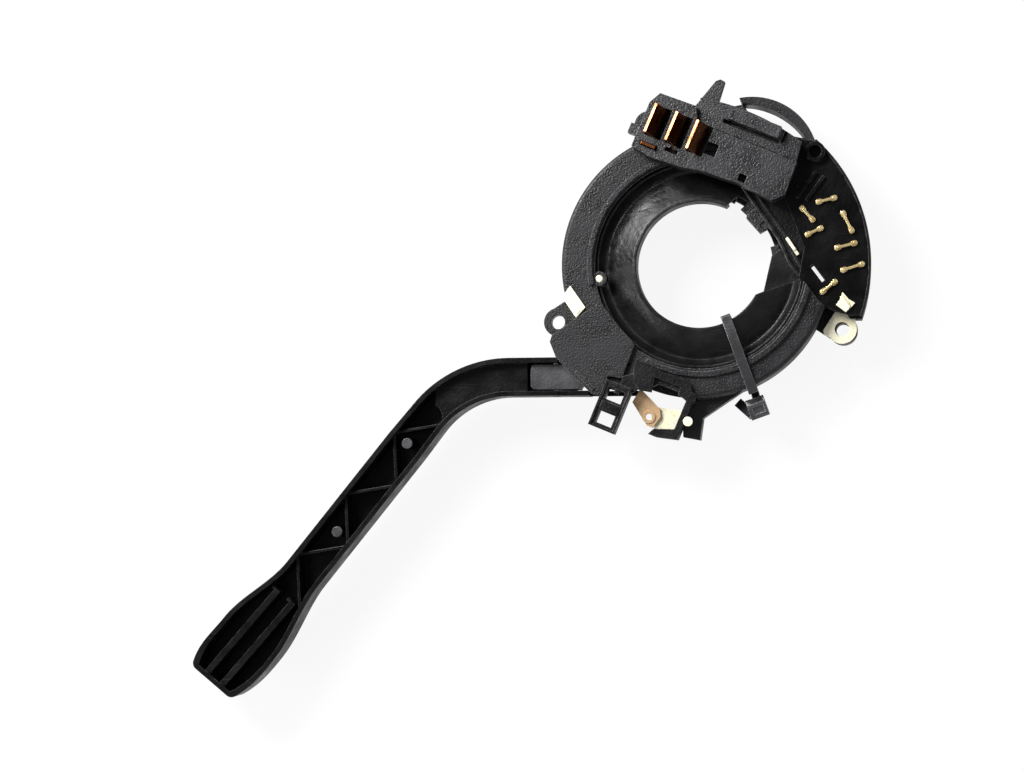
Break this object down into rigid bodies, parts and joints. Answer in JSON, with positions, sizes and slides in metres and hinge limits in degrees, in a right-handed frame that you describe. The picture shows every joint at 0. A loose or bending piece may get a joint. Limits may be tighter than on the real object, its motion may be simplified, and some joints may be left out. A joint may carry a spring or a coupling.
{
  "type": "combination stalk switch",
  "caption": "Steering-column stalk switch: ring housing with column bore, rear plug socket and contact plate, and a cranked ribbed lever for turn signals and headlamp flash.",
  "frame": {"origin": "centre of the column bore, in the plane of the front face that looks at the driver", "axes": "+Z along the column axis to the rear, the side of the plug socket and contacts; -X towards the side the lever leaves; +Y towards the plug socket"},
  "size_m": [0.2175, 0.195, 0.0271],
  "materials": {
    "cover_plastic": "fine grain",
    "guard_plastic": "smooth",
    "housing_plastic": "fine grain",
    "socket_plastic": "fine grain",
    "module_plastic": "fine grain",
    "terminal_laminate": "satin",
    "stalk_plastic": "smooth with fine scratches",
    "bearing_plastic": "satin",
    "ring_plastic": "satin",
    "steel": "plain",
    "pale_brass": "dull plated",
    "yellow_brass": "bright on the edges",
    "copper_blade": "tarnished",
    "copper_leaf": "dull",
    "tie_nylon": "smooth"
  },
  "bodies": {
    "housing": {"front_cover": "cover_plastic", "detent_track": "cover_plastic", "column_guard": "guard_plastic", "main_housing": "housing_plastic", "lever_cover_plate": "housing_plastic", "flash_bracket": "housing_plastic", "wire_guide": "housing_plastic", "connector_housing": "socket_plastic", "connector_knob": "socket_plastic", "contact_housing": "module_plastic", "terminal_plate": "terminal_laminate", "cover_screws": "steel", "lever_pivot_pin": "steel", "horn_spring": "steel", "ring_tab": "pale_brass", "folded_tab": "pale_brass", "edge_contact": "pale_brass", "flash_strip": "pale_brass", "flash_rivet": "pale_brass", "side_strip": "pale_brass", "terminal_staples": "yellow_brass", "blade_left": "copper_blade", "blade_middle": "copper_blade", "blade_right": "copper_blade", "small_blade": "copper_blade", "cable_tie": "tie_nylon"},
    "turn_lever": {"lever_carrier": "bearing_plastic", "drive_stud": "steel", "stalk_pin": "steel", "detent_spring": "steel", "stalk_spring": "steel"},
    "stalk": {"stalk": "stalk_plastic"},
    "detent_plunger": {"detent_plunger": "steel"},
    "shift_ring": {"shift_ring": "ring_plastic", "pawl_pin": "steel", "contact_bridge": "pale_brass", "pawl_spring": "steel"},
    "cancel_pawl": {"cancel_pawl": "bearing_plastic"},
    "flash_leaf": {"flash_leaf": "copper_leaf", "leaf_eyelet": "copper_leaf"},
    "horn_pin": {"horn_pin": "pale_brass"}
  },
  "joints": [
    {"name": "turn_signal", "type": "hinge", "parent": "housing", "child": "turn_lever", "pos_m": [-0.0345, -0.0271, 0.009], "axis": [0, 0, 1], "range_deg": [-9, 9]},
    {"name": "stalk_pull", "type": "hinge", "parent": "turn_lever", "child": "stalk", "pos_m": [-0.046, -0.035, 0.0086], "axis": [0, -1, 0], "range_deg": [0, 4], "stiffness_Nm_per_rad": 3, "springref_deg": -8.59},
    {"name": "detent_press", "type": "slide", "parent": "turn_lever", "child": "detent_plunger", "axis": [0, -1, 0], "range_m": [0, 0.0008], "stiffness_N_per_m": 800, "springref_m": -0.001},
    {"name": "ring_shift", "type": "hinge", "parent": "housing", "child": "shift_ring", "pos_m": [0, 0, 0.004], "axis": [0, 0, 1], "range_deg": [-4.4, 4.4]},
    {"name": "pawl_rock", "type": "hinge", "parent": "shift_ring", "child": "cancel_pawl", "pos_m": [0.01989, 0.01855, 0.0075], "axis": [0, 0, 1], "range_deg": [-10, 10], "stiffness_Nm_per_rad": 0.02},
    {"name": "leaf_lift", "type": "hinge", "parent": "housing", "child": "flash_leaf", "pos_m": [-0.0138, -0.0506, 0.012], "axis": [0.8321, 0.5547, 0], "range_deg": [0, 9.4]},
    {"name": "horn_press", "type": "slide", "parent": "housing", "child": "horn_pin", "axis": [0, 0, 1], "range_m": [0, 0.0015], "stiffness_N_per_m": 300, "springref_m": -0.003, "deforming": ["horn_spring"]}
  ],
  "couplings": [
    {"joint": "ring_shift", "follows": "turn_signal", "ratio": -0.46868},
    {"joint": "leaf_lift", "follows": "stalk_pull", "ratio": 2.33}
  ]
}
